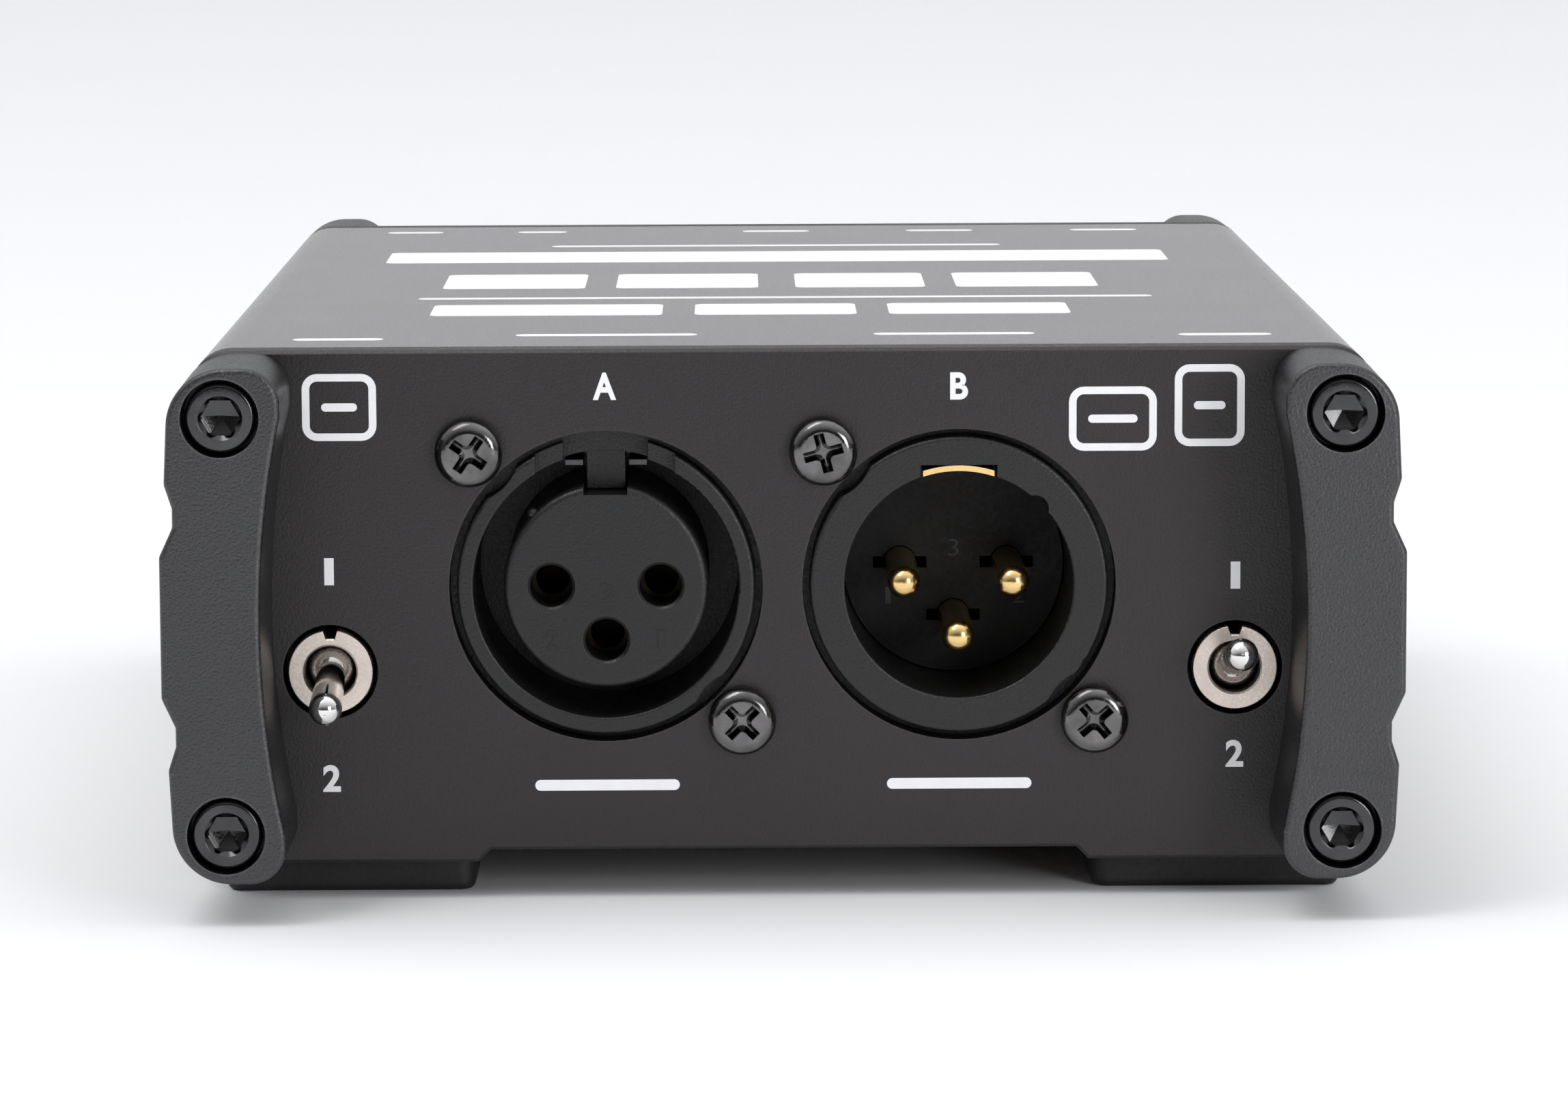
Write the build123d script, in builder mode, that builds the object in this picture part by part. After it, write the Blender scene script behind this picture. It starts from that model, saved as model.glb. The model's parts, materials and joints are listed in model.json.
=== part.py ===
from build123d import *
import os
from math import cos, radians, sin

# Passive direct injection box. The origin is on the surface that it stands on, under the
# middle of the enclosure. +X is to the right of someone who faces the microphone-level
# connectors, +Y runs from that front panel to the rear panel, and +Z is up. All in mm.

# ---- Enclosure ----
body_length = 114.0  # over both end panels
body_width = 86.2
body_top = 40.5
corner_radius = 3.0
wall = 1.8
panel_thickness = 2.5
panel_edge_break = 0.25
base_recess = 0.9  # the middle of the base is raised by this
base_recess_width = 43.0
groove_radius = 1.6  # the long grooves along both sides
groove_depth = 0.7

# ---- Rubber feet ----
foot_height = 2.7
foot_width = 18.4
foot_length = 20.0
foot_edge_inset = 1.9  # from the side of the enclosure
foot_end_gap = 0.5  # from the inner face of the end panel
foot_corner_radius = 1.2

# ---- Corner bumpers and their socket head screws ----
bumper_depth = 10.8
bumper_draft = 0.4  # degrees
bumper_edge_radius = 0.35
bumper_end = 3.55  # from a screw centre to the bumper's top or bottom
bumper_outer_waist = 4.47  # from the screw line to the outer side, half way up
bumper_outer_end = 3.65
bumper_inner_waist = 2.65
bumper_inner_end = 4.25
bumper_notch_height = 7.9  # from half way up the bumper to the middle of a notch
bumper_notch_floor = 3.5
bumper_shoulder = 4.05
bumper_shoulder_height = 2.4  # above the middle of a notch
bumper_notch_flat = 0.7  # half the straight floor of a notch
bumper_notch_reach = 2.8  # below the middle of a notch, where the waist begins
bumper_corner_radii = (2.6, 4.2, 0.8, 0.5, 0.5, 0.8)
corner_screw_inset = 3.1  # from the side of the enclosure to a screw centre
corner_screw_top_inset = 3.75
corner_screw_base_inset = 4.0
corner_screw_diameter = 3.0
corner_screw_reach = 9.0  # into the enclosure
corner_head_diameter = 5.1
corner_head_height = 3.0
corner_head_sunk = 0.5
hex_key_width = 2.5
hex_key_depth = 1.6
counterbore_clearance = 0.25
screw_hole_clearance = 0.15
thread_clearance = 0.05
boss_wall = 1.4

# ---- Circuit board and the rails that hold it ----
board_top = 12.3
board_thickness = 1.6
board_side_clearance = 0.3
board_slot_clearance = 0.1
board_end_clearance = 1.0
rail_thickness = 1.3
rail_depth = 2.2
pin_hole_clearance = 0.15
pin_tail = 1.2  # how far solder pins pass below the board

# ---- XLR connectors ----
xlr_spacing = 25.8
xlr_height = 10.8  # axis above the board
xlr_collar_diameter = 21.8
xlr_hole_clearance = 0.55
xlr_rim_radius = 0.3
xlr_screw_relief = 3.6  # radius of the bites that clear the screw heads
xlr_flange = 25.4
xlr_flange_thickness = 3.0
xlr_barrel_diameter = 21.2
xlr_length = 21.0  # from the front of the panel
xlr_socket_depth = 13.0
xlr_floor = 2.5
xlr_chamfer = 0.4
xlr_screw_offset = 9.9
xlr_screw_diameter = 2.6
xlr_screw_reach = 6.5
xlr_head_diameter = 5.0
xlr_head_height = 1.6
xlr_cross_length = 2.9
xlr_cross_width = 0.75
xlr_cross_depth = 1.0
xlr_cross_taper = 18.0  # degrees
xlr_cross_root = 0.3
xlr_head_rounding = 0.96
xlr_contact_radius = 4.0
female_bore_diameter = 19.4
female_insert_diameter = 15.0
female_insert_sunk = 0.2
female_pin_hole = 3.1
female_lip = 4.5
female_rim_radius = 0.5
female_window_width = 10.2  # the cut-away top of the collar
female_window_depth = 1.2
female_slot_width = 6.2
female_slot_depth = 3.0
female_tube_outer = 3.4
female_tube_inner = 2.5
female_tube_length = 7.0
female_key_width = 2.8
female_key_reach = 0.7  # into the insert
female_key_sunk = 3.6  # behind the front of the panel
female_key_length = 6.0
female_prong_outer = 3.0
female_leaf_height = 8.7  # above the axis
female_leaf_bridge = 2.0
female_stud_radius = 0.45  # a small stud on the rim that marks the first contact
female_stud_sunk = 0.9
female_hole_chamfer = 0.2
male_bore_diameter = 16.7
male_pin_diameter = 2.4
male_pin_sunk = 0.5
male_key_radius = 1.0
male_key_angle = 45.0
male_spring_pocket = 0.45  # into the wall of the socket
male_spring_sunk = 0.6
male_notch = 0.85  # square pockets beside the pins
male_notch_depth = 4.5
male_insert_depth = 12.4
male_insert_thickness = 6.0
contact_clearance = 0.05
insert_clearance = 0.1
wire_diameter = 0.9
tail_gap = 0.5  # from the back of a connector to the leads behind it

# ---- Toggle switches ----
toggle_spread = 10.0  # axis of a front switch from the side of the enclosure
toggle_height = 4.6  # axis above the board
toggle_hole_clearance = 0.3
bushing_diameter = 6.35
bushing_bore = 3.8
bushing_length = 5.1
bushing_chamfer = 0.12
keyway_width = 1.0
keyway_depth = 0.75
toggle_body_width = 7.9
toggle_body_depth = 8.4
toggle_body_wall = 1.4
pivot_depth = 2.2  # behind the bushing's face
pivot_clearance = 0.1
lever_tilt = 12.5  # degrees each way
lever_length = 7.3  # from the bushing's face to the tip, when level
lever_tip_diameter = 2.4
lever_neck_diameter = 2.0
lever_tail = 4.6
lever_tail_diameter = 1.4
terminal_pitch = 2.3
terminal_diameter = 0.8
terminal_row_pitch = 1.8  # between the holes in the board

# ---- Sockets on the rear panel ----
input_jack_x = 29.8
thru_jack_x = 15.0
phono_x = 0.3
mini_jack_x = -20.7
pad_switch_x = -32.1
jack_height = 8.6
jack_bore = 6.5
jack_nose_diameter = 9.6
jack_nose_proud = 4.2
jack_body_width = 14.2
jack_body_height = 17.0
jack_body_depth = 24.0
jack_body_wall = 1.6
jack_front_wall = 2.4
jack_nut_width = 11.8
jack_nut_height = 2.4
jack_nut_chamfer = 0.4
nose_chamfer = 0.3
panel_hole_clearance = 0.15
leaf_thickness = 0.4
leaf_width = 2.6
mini_height = 4.4
mini_bore = 3.6
mini_nose_diameter = 6.0
mini_nose_proud = 3.0
mini_body_width = 8.0
mini_body_depth = 14.0
mini_nut_diameter = 8.0
mini_nut_height = 1.8
mini_nut_slot = (1.2, 1.0)  # for a pin spanner
mini_pin_depths = (3.0, 7.0, 11.0)  # behind the panel
mini_pin_rise = 3.0
phono_height = 5.6  # lower axis above the board
phono_pitch = 13.0
phono_barrel_diameter = 8.3
phono_barrel_inner = 6.9
phono_barrel_proud = 9.0
phono_neck_diameter = 7.8  # behind the panel, where the housing holds it
phono_shoulder = 0.2  # from the panel's face
phono_housing_width = 10.6
phono_housing_depth = 12.0
phono_pin_hole = 3.3
phono_insulator_sunk = 0.4
phono_contact_sunk = 2.0

# ---- Transformer and the parts around it ----
core_width = 25.4
core_height = 21.2
core_stack = 9.0
core_centre_leg = 6.4
core_side_leg = 3.2
core_yoke = 3.2
core_stand = 1.2  # above the board
bobbin_wall = 0.9
bobbin_clearance = 0.1
winding_thickness = 3.4
winding_corner_radius = 1.0
flange_overhang = 0.5  # beyond the winding
strap_thickness = 0.8
strap_tab = 5.0
strap_screw_diameter = 2.5
strap_head_diameter = 4.4
strap_head_height = 1.6
strap_screw_tail = 1.5  # below the board

# ---- Places worked out from the sizes above ----
front_y = -body_length / 2
rear_y = body_length / 2
front_panel_inner = front_y + panel_thickness
rear_panel_inner = rear_y - panel_thickness
half_width = body_width / 2
inner_half_width = half_width - wall
base_z = foot_height
recess_z = base_z + base_recess
floor_z = recess_z + wall
ceiling_z = body_top - wall
corner_screw_x = half_width - corner_screw_inset
corner_screw_low = base_z + corner_screw_base_inset
corner_screw_high = body_top - corner_screw_top_inset
bumper_centre = (corner_screw_low + corner_screw_high) / 2
bumper_half = (corner_screw_high - corner_screw_low) / 2 + bumper_end
board_bottom = board_top - board_thickness
pin_end = board_bottom - pin_tail
xlr_z = board_top + xlr_height
xlr_in_x = -xlr_spacing / 2
xlr_out_x = xlr_spacing / 2
toggle_z = board_top + toggle_height
toggle_x = half_width - toggle_spread
jack_z = board_top + jack_height
mini_z = board_top + mini_height
phono_low = board_top + phono_height
phono_high = phono_low + phono_pitch
xlr_back = front_y + xlr_length
board_front = front_panel_inner + xlr_flange_thickness + board_end_clearance
board_rear = rear_panel_inner - board_end_clearance
tail_y = xlr_back + tail_gap + wire_diameter / 2
xlr_screw_places = [(-xlr_screw_offset, xlr_screw_offset), (xlr_screw_offset, -xlr_screw_offset)]
contact_places = [(-xlr_contact_radius, 0), (xlr_contact_radius, 0), (0, -xlr_contact_radius)]
corner_screw_places = [
    (side * corner_screw_x, height)
    for side in (-1, 1)
    for height in (corner_screw_low, corner_screw_high)
]


def upright(y, x=0.0, z=0.0):
    """A plane across the box at depth y. Its own x and y are the box's X and Z, and it faces the front."""
    return Plane(origin=(x, y, z), x_dir=(1, 0, 0), z_dir=(0, -1, 0))


def save(piece, name):
    piece.part.label = name
    export_step(piece.part, f"parts/{name}.step")


def body_outline(plane):
    """The enclosure's outline from the front: round corners and a raised middle under the base."""
    slope = base_recess  # the step is at 45 degrees
    flat = base_recess_width / 2
    with BuildSketch(plane) as outline:
        with BuildLine():
            Polyline(
                (-half_width, base_z),
                (-half_width, body_top),
                (half_width, body_top),
                (half_width, base_z),
                (flat + slope, base_z),
                (flat, recess_z),
                (-flat, recess_z),
                (-flat - slope, base_z),
                close=True,
            )
        make_face()
        corners = outline.vertices().group_by(Axis.X)
        fillet(corners[0] + corners[-1], radius=corner_radius)
    return outline.sketch


os.makedirs("parts", exist_ok=True)

# ---------------------------------------------------------------- sleeve
# One extruded length: walls, two grooves along each side, four screw bosses and the board's rails.
sleeve_length = body_length - 2 * panel_thickness
boss_radius = corner_screw_diameter / 2 + boss_wall
slot_low = board_bottom - board_slot_clearance
slot_high = board_top + board_slot_clearance
rail_middle = inner_half_width - rail_depth / 2

with BuildPart() as sleeve:
    extrude(body_outline(upright(rear_panel_inner)), amount=sleeve_length)
    with BuildSketch(upright(rear_panel_inner)):
        with Locations((0, (floor_z + ceiling_z) / 2)):
            RectangleRounded(2 * inner_half_width, ceiling_z - floor_z, corner_radius / 2)
        with Locations(*corner_screw_places):
            Circle(boss_radius, mode=Mode.SUBTRACT)
        for rail_z in (slot_low - rail_thickness / 2, slot_high + rail_thickness / 2):
            with Locations((-rail_middle, rail_z), (rail_middle, rail_z)):
                Rectangle(rail_depth, rail_thickness, mode=Mode.SUBTRACT)
    extrude(amount=sleeve_length, mode=Mode.SUBTRACT)
    with BuildSketch(upright(rear_panel_inner)):
        for side in (-1, 1):
            for level in (-1, 1):
                groove_x = side * (half_width + groove_radius - groove_depth)
                with Locations((groove_x, bumper_centre + level * bumper_notch_height)):
                    Circle(groove_radius)
        with Locations(*corner_screw_places):
            Circle(corner_screw_diameter / 2 + thread_clearance)
    extrude(amount=sleeve_length, mode=Mode.SUBTRACT)
save(sleeve, "sleeve")

# ---------------------------------------------------------------- end panels
xlr_hole_radius = xlr_collar_diameter / 2 + xlr_hole_clearance
xlr_screw_hole = xlr_screw_diameter / 2 + screw_hole_clearance
corner_screw_hole = corner_screw_diameter / 2 + screw_hole_clearance
toggle_hole = bushing_diameter / 2 + toggle_hole_clearance

with BuildPart() as front_panel:
    extrude(body_outline(upright(front_panel_inner)), amount=panel_thickness)
    chamfer(front_panel.faces().sort_by(Axis.Y)[0].edges(), length=panel_edge_break)
    with BuildSketch(upright(front_panel_inner)):
        for centre in (xlr_in_x, xlr_out_x):
            with Locations((centre, xlr_z)):
                Circle(xlr_hole_radius)
            with Locations(*[(centre + dx, xlr_z + dz) for dx, dz in xlr_screw_places]):
                Circle(xlr_screw_hole)
        with Locations((-toggle_x, toggle_z), (toggle_x, toggle_z)):
            Circle(toggle_hole)
        with Locations(*corner_screw_places):
            Circle(corner_screw_hole)
    extrude(amount=panel_thickness, mode=Mode.SUBTRACT)
save(front_panel, "front_panel")

with BuildPart() as rear_panel:
    extrude(body_outline(upright(rear_y)), amount=panel_thickness)
    chamfer(rear_panel.faces().sort_by(Axis.Y)[-1].edges(), length=panel_edge_break)
    with BuildSketch(upright(rear_y)):
        with Locations((input_jack_x, jack_z), (thru_jack_x, jack_z)):
            Circle(jack_nose_diameter / 2 + panel_hole_clearance)
        with Locations((phono_x, phono_low), (phono_x, phono_high)):
            Circle(phono_barrel_diameter / 2 + panel_hole_clearance)
        with Locations((mini_jack_x, mini_z)):
            Circle(mini_nose_diameter / 2 + panel_hole_clearance)
        with Locations((pad_switch_x, toggle_z)):
            Circle(toggle_hole)
        with Locations(*corner_screw_places):
            Circle(corner_screw_hole)
    extrude(amount=panel_thickness, mode=Mode.SUBTRACT)
save(rear_panel, "rear_panel")


# ---------------------------------------------------------------- bumpers
def bumper_outline(plane, side):
    """A bumper from the front: a bowed inner side, and an outer side with two finger notches."""
    end = bumper_half
    notch = bumper_notch_height
    lug = end - bumper_end
    inner_end = corner_screw_x - bumper_inner_end
    outer_end = corner_screw_x + bumper_outer_end
    upper_side = [
        (inner_end, end),
        (outer_end, end),
        (corner_screw_x + bumper_shoulder, notch + bumper_shoulder_height),
        (corner_screw_x + bumper_notch_floor, notch + bumper_notch_flat),
        (corner_screw_x + bumper_notch_floor, notch - bumper_notch_flat),
        (corner_screw_x + bumper_outer_waist, notch - bumper_notch_reach),
    ]
    lower_side = [(x, -z) for x, z in reversed(upper_side)]
    points = [(inner_end, lug), *upper_side, *lower_side, (inner_end, -lug)]
    with BuildSketch(plane) as outline:
        with BuildLine():
            FilletPolyline(
                *[(side * x, bumper_centre + z) for x, z in points],
                radius=[*bumper_corner_radii, *reversed(bumper_corner_radii)],
            )
            ThreePointArc(
                (side * inner_end, bumper_centre - lug),
                (side * (corner_screw_x - bumper_inner_waist), bumper_centre),
                (side * inner_end, bumper_centre + lug),
            )
        make_face()
    return outline.sketch


counterbore_radius = corner_head_diameter / 2 + counterbore_clearance
counterbore_depth = corner_head_height + corner_head_sunk


def make_bumper(side, end):
    """side is -1 on the left and 1 on the right; end is -1 at the front and 1 at the rear."""
    seat_y = end * body_length / 2
    face_y = seat_y + end * bumper_depth
    holes = [(side * corner_screw_x, height) for height in (corner_screw_low, corner_screw_high)]
    with BuildPart() as bumper:
        extrude(bumper_outline(upright(face_y), side), amount=end * bumper_depth, taper=-bumper_draft)
        outer_face = bumper.faces().sort_by(Axis.Y)[0 if end < 0 else -1]
        fillet(outer_face.edges(), radius=bumper_edge_radius)
        with BuildSketch(upright(seat_y)):
            with Locations(*holes):
                Circle(corner_screw_hole)
        extrude(amount=-end * bumper_depth, mode=Mode.SUBTRACT)
        with BuildSketch(upright(face_y)):
            with Locations(*holes):
                Circle(counterbore_radius)
        extrude(amount=end * counterbore_depth, mode=Mode.SUBTRACT)
    return bumper


for end, end_name in ((-1, "front"), (1, "rear")):
    for side, side_name in ((-1, "left"), (1, "right")):
        save(make_bumper(side, end), f"bumper_{end_name}_{side_name}")


# ---------------------------------------------------------------- corner screws
def make_corner_screws(end):
    """Four socket head screws that hold two bumpers and an end panel to the sleeve."""
    head_seat = end * (body_length / 2 + bumper_depth - counterbore_depth)
    head_face = head_seat + end * corner_head_height
    tip_y = end * (body_length / 2 - corner_screw_reach)
    with BuildPart() as screws:
        with BuildSketch(upright(tip_y)):
            with Locations(*corner_screw_places):
                Circle(corner_screw_diameter / 2)
        extrude(amount=-(head_seat - tip_y))
        with BuildSketch(upright(head_seat)):
            with Locations(*corner_screw_places):
                Circle(corner_head_diameter / 2)
        extrude(amount=-end * corner_head_height)
        with BuildSketch(upright(head_face)):
            with Locations(*corner_screw_places):
                RegularPolygon(hex_key_width / 2, 6, major_radius=False)
        extrude(amount=end * hex_key_depth, mode=Mode.SUBTRACT)
    return screws


save(make_corner_screws(-1), "bumper_screws_front")
save(make_corner_screws(1), "bumper_screws_rear")

# ---------------------------------------------------------------- feet
foot_x = half_width - foot_edge_inset - foot_width / 2
foot_y = rear_panel_inner - foot_end_gap - foot_length / 2

for end, end_name in ((-1, "front"), (1, "rear")):
    for side, side_name in ((-1, "left"), (1, "right")):
        with BuildPart() as foot:
            with BuildSketch(Plane((side * foot_x, end * foot_y, 0))):
                RectangleRounded(foot_width, foot_length, foot_corner_radius)
            extrude(amount=foot_height)
            fillet(foot.faces().sort_by(Axis.Z)[0].edges(), radius=foot_corner_radius / 2)
        save(foot, f"foot_{end_name}_{side_name}")


# ---------------------------------------------------------------- XLR connectors
def make_xlr_shell(centre, bore_diameter, bore_depth):
    """Collar in the panel, square flange behind it, and a barrel with an open back."""
    with BuildPart() as shell:
        with BuildSketch(upright(front_panel_inner, centre, xlr_z)):
            Circle(xlr_collar_diameter / 2)
        extrude(amount=panel_thickness)
        fillet(shell.faces().sort_by(Axis.Y)[0].edges(), radius=xlr_rim_radius)
        with BuildSketch(upright(front_panel_inner, centre, xlr_z)):
            with Locations(*xlr_screw_places):
                Circle(xlr_screw_relief)
        extrude(amount=panel_thickness, mode=Mode.SUBTRACT)
        with BuildSketch(upright(front_panel_inner + xlr_flange_thickness, centre, xlr_z)):
            RectangleRounded(xlr_flange, xlr_flange, corner_radius)
        extrude(amount=xlr_flange_thickness)
        with BuildSketch(upright(xlr_back, centre, xlr_z)):
            Circle(xlr_barrel_diameter / 2)
        extrude(amount=xlr_length - panel_thickness - xlr_flange_thickness)
        with BuildSketch(upright(front_y + bore_depth, centre, xlr_z)):
            Circle(bore_diameter / 2)
        extrude(amount=bore_depth, mode=Mode.SUBTRACT)
        mouth = shell.faces().filter_by(Axis.Y).sort_by(Axis.Y)[0].inner_wires()[0]
        fillet(mouth.edges(), radius=xlr_rim_radius / 2)
        with BuildSketch(upright(xlr_back, centre, xlr_z)):
            Circle(male_bore_diameter / 2)
        extrude(amount=xlr_length - bore_depth - xlr_floor, mode=Mode.SUBTRACT)
        with BuildSketch(upright(xlr_back, centre, xlr_z)):
            with Locations(*contact_places):
                Circle(wire_diameter / 2 + pin_hole_clearance)
        extrude(amount=xlr_length - bore_depth, mode=Mode.SUBTRACT)
        with BuildSketch(upright(front_panel_inner + xlr_flange_thickness, centre, xlr_z)):
            with Locations(*xlr_screw_places):
                Circle(xlr_screw_diameter / 2 + thread_clearance)
        extrude(amount=xlr_flange_thickness, mode=Mode.SUBTRACT)
    return shell


def cross_recess(plane, turn):
    """A cross with rounded roots, turned by some degrees."""
    with BuildSketch(plane) as cross:
        Rectangle(xlr_cross_length, xlr_cross_width, rotation=turn)
        Rectangle(xlr_cross_width, xlr_cross_length, rotation=turn)
        roots = cross.vertices().group_by(SortBy.DISTANCE)[0]
        fillet(roots, radius=xlr_cross_root)
    return cross.sketch


def make_xlr_screws(centre, turns):
    """Two pan head screws with cross recesses, from the front of the panel into the flange."""
    with BuildPart() as screws:
        for dx, dz in xlr_screw_places:
            with BuildSketch(upright(front_y + xlr_screw_reach, centre + dx, xlr_z + dz)):
                Circle(xlr_screw_diameter / 2)
            extrude(amount=xlr_screw_reach)
            with BuildSketch(upright(front_y, centre + dx, xlr_z + dz)):
                Circle(xlr_head_diameter / 2)
            extrude(amount=xlr_head_height)
        rims = screws.faces().filter_by(Axis.Y).group_by(Axis.Y)[0].edges()
        fillet(rims, radius=xlr_head_rounding)
        for (dx, dz), turn in zip(xlr_screw_places, turns):
            face = upright(front_y - xlr_head_height, centre + dx, xlr_z + dz)
            cross = cross_recess(face, turn)
            extrude(cross, amount=-xlr_cross_depth, taper=xlr_cross_taper, mode=Mode.SUBTRACT)
    return screws


def wire_to_board(radius, x, z, start_y, end_y):
    """A straight lead along the box that turns down through the board in a tight bend."""
    with BuildPart() as wire:
        with BuildLine():
            FilletPolyline((x, start_y, z), (x, end_y, z), (x, end_y, pin_end), radius=2 * radius)
        with BuildSketch(Plane(origin=(x, end_y, pin_end), z_dir=(0, 0, -1))):
            Circle(radius)
        sweep()
    return wire.part


# Female connector: the input.
female_floor = front_y + xlr_socket_depth
female_top = female_bore_diameter / 2
key_low = female_insert_diameter / 2 - female_key_reach
key_front = front_y + female_key_sunk
prong_inner = female_key_width / 2 + 3 * insert_clearance

xlr_in_blank = make_xlr_shell(xlr_in_x, female_bore_diameter, xlr_socket_depth)
with BuildPart() as xlr_in_shell:
    add(xlr_in_blank.part)
    cuts = ((female_window_width, female_window_depth), (female_slot_width, female_slot_depth))
    for cut_width, cut_depth in cuts:
        with BuildSketch(upright(front_y + cut_depth, xlr_in_x, xlr_z + xlr_collar_diameter / 2)):
            Rectangle(cut_width, xlr_collar_diameter / 2 - female_prong_outer)
        extrude(amount=cut_depth, mode=Mode.SUBTRACT)
    with BuildSketch(upright(key_front + female_key_length, xlr_in_x, xlr_z)):
        with Locations((0, (key_low + female_top + xlr_chamfer) / 2)):
            Rectangle(female_key_width, female_top + xlr_chamfer - key_low)
    extrude(amount=female_key_length)
save(xlr_in_shell, "xlr_in_shell")

tube_front = front_y + female_insert_sunk + female_lip + contact_clearance
with BuildPart() as xlr_in_insert:
    with BuildSketch(upright(female_floor, xlr_in_x, xlr_z)):
        Circle(female_insert_diameter / 2)
        key_slot = female_key_reach + insert_clearance
        with Locations((0, female_insert_diameter / 2 - key_slot / 2)):
            Rectangle(female_key_width + 4 * insert_clearance, key_slot, mode=Mode.SUBTRACT)
    extrude(amount=xlr_socket_depth - female_insert_sunk)
    rim = xlr_in_insert.faces().sort_by(Axis.Y)[0].edges().filter_by(GeomType.CIRCLE)
    fillet(rim, radius=female_rim_radius)
    stud_place = female_insert_diameter / 2 * cos(radians(45))
    with Locations((xlr_in_x - stud_place, front_y + female_stud_sunk, xlr_z + stud_place)):
        Sphere(female_stud_radius)
    with BuildSketch(upright(female_floor, xlr_in_x, xlr_z)):
        with Locations(*contact_places):
            Circle(female_pin_hole / 2)
    extrude(amount=xlr_socket_depth, mode=Mode.SUBTRACT)
    with BuildSketch(upright(female_floor, xlr_in_x, xlr_z)):
        with Locations(*contact_places):
            Circle(female_tube_outer / 2 + contact_clearance)
    extrude(amount=xlr_socket_depth - female_insert_sunk - female_lip, mode=Mode.SUBTRACT)
    mouths = xlr_in_insert.faces().filter_by(Axis.Y).sort_by(Axis.Y)[0].inner_wires()
    chamfer([edge for wire in mouths for edge in wire.edges()], length=female_hole_chamfer)
save(xlr_in_insert, "xlr_in_insert")

with BuildPart() as xlr_in_contacts:
    with BuildSketch(upright(tube_front + female_tube_length, xlr_in_x, xlr_z)):
        with Locations(*contact_places):
            Circle(female_tube_outer / 2)
    extrude(amount=female_tube_length)
    with BuildSketch(upright(tube_front + female_tube_length - wire_diameter, xlr_in_x, xlr_z)):
        with Locations(*contact_places):
            Circle(female_tube_inner / 2)
    extrude(amount=female_tube_length - wire_diameter, mode=Mode.SUBTRACT)
    for dx, dz in contact_places:
        lead_start = tube_front + female_tube_length - wire_diameter / 2
        add(wire_to_board(wire_diameter / 2, xlr_in_x + dx, xlr_z + dz, lead_start, tail_y))
save(xlr_in_contacts, "xlr_in_contacts")

# A spring leaf with two prongs, one each side of the key, which grips the plug.
leaf_front = key_front + insert_clearance
with BuildPart() as xlr_in_retainer:
    with BuildSketch(Plane((xlr_in_x, 0, xlr_z + female_leaf_height - leaf_thickness / 2))):
        with Locations((0, (leaf_front + female_floor) / 2)):
            Rectangle(2 * female_prong_outer, female_floor - leaf_front)
        prong_length = female_floor - leaf_front - female_leaf_bridge
        with Locations((0, leaf_front + prong_length / 2)):
            Rectangle(2 * prong_inner, prong_length, mode=Mode.SUBTRACT)
    extrude(amount=leaf_thickness)
save(xlr_in_retainer, "xlr_in_retainer")
save(make_xlr_screws(xlr_in_x, (55, 45)), "xlr_in_screws")

# Male connector: the output.
male_floor = front_y + male_insert_depth
spring_outer = male_bore_diameter / 2 + male_spring_pocket - insert_clearance
spring_width = 2 * leaf_width
xlr_out_blank = make_xlr_shell(xlr_out_x, male_bore_diameter, male_insert_depth + male_insert_thickness)
with BuildPart() as xlr_out_shell:
    add(xlr_out_blank.part)
    key_reach = male_bore_diameter / 2 - male_key_radius / 2
    with BuildSketch(upright(male_floor, xlr_out_x, xlr_z)):
        with PolarLocations(key_reach, 1, start_angle=male_key_angle):
            Circle(male_key_radius)
        with Locations((0, male_bore_diameter / 2 + male_spring_pocket - leaf_width)):
            Rectangle(spring_width + 4 * insert_clearance, 2 * leaf_width)
    extrude(amount=male_insert_depth, mode=Mode.SUBTRACT)
save(xlr_out_shell, "xlr_out_shell")

with BuildPart() as xlr_out_insert:
    with BuildSketch(upright(male_floor + male_insert_thickness, xlr_out_x, xlr_z)):
        Circle(male_bore_diameter / 2 - insert_clearance)
        with Locations(*contact_places):
            Circle(male_pin_diameter / 2 + contact_clearance, mode=Mode.SUBTRACT)
    extrude(amount=male_insert_thickness)
    with BuildSketch(upright(male_floor, xlr_out_x, xlr_z)):
        for dx, dz in contact_places:
            notch_offset = (male_pin_diameter + male_notch) / 2 - contact_clearance
            with Locations((dx - notch_offset, dz), (dx + notch_offset, dz)):
                Rectangle(male_notch, male_notch)
    extrude(amount=-male_notch_depth, mode=Mode.SUBTRACT)
save(xlr_out_insert, "xlr_out_insert")

with BuildPart() as xlr_out_pins:
    with BuildSketch(upright(male_floor + male_insert_thickness, xlr_out_x, xlr_z)):
        with Locations(*contact_places):
            Circle(male_pin_diameter / 2)
    extrude(amount=male_insert_depth + male_insert_thickness - male_pin_sunk)
    tips = xlr_out_pins.faces().filter_by(Axis.Y).group_by(Axis.Y)[0].edges()
    fillet(tips, radius=male_pin_diameter / 2 - contact_clearance)
    for dx, dz in contact_places:
        lead_start = male_floor + male_insert_thickness - wire_diameter / 2
        add(wire_to_board(wire_diameter / 2, xlr_out_x + dx, xlr_z + dz, lead_start, tail_y))
save(xlr_out_pins, "xlr_out_pins")

# The shell's earth spring: a curved strip under the top of the socket.
spring_front = front_y + male_spring_sunk
with BuildPart() as xlr_out_ground_spring:
    with BuildSketch(upright(male_floor, xlr_out_x, xlr_z)):
        Circle(spring_outer)
        Circle(spring_outer - leaf_thickness, mode=Mode.SUBTRACT)
        with Locations((0, spring_outer)):
            Rectangle(spring_width, spring_outer, mode=Mode.INTERSECT)
    extrude(amount=male_floor - spring_front)
save(xlr_out_ground_spring, "xlr_out_ground_spring")
save(make_xlr_screws(xlr_out_x, (15, 40)), "xlr_out_screws")


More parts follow.
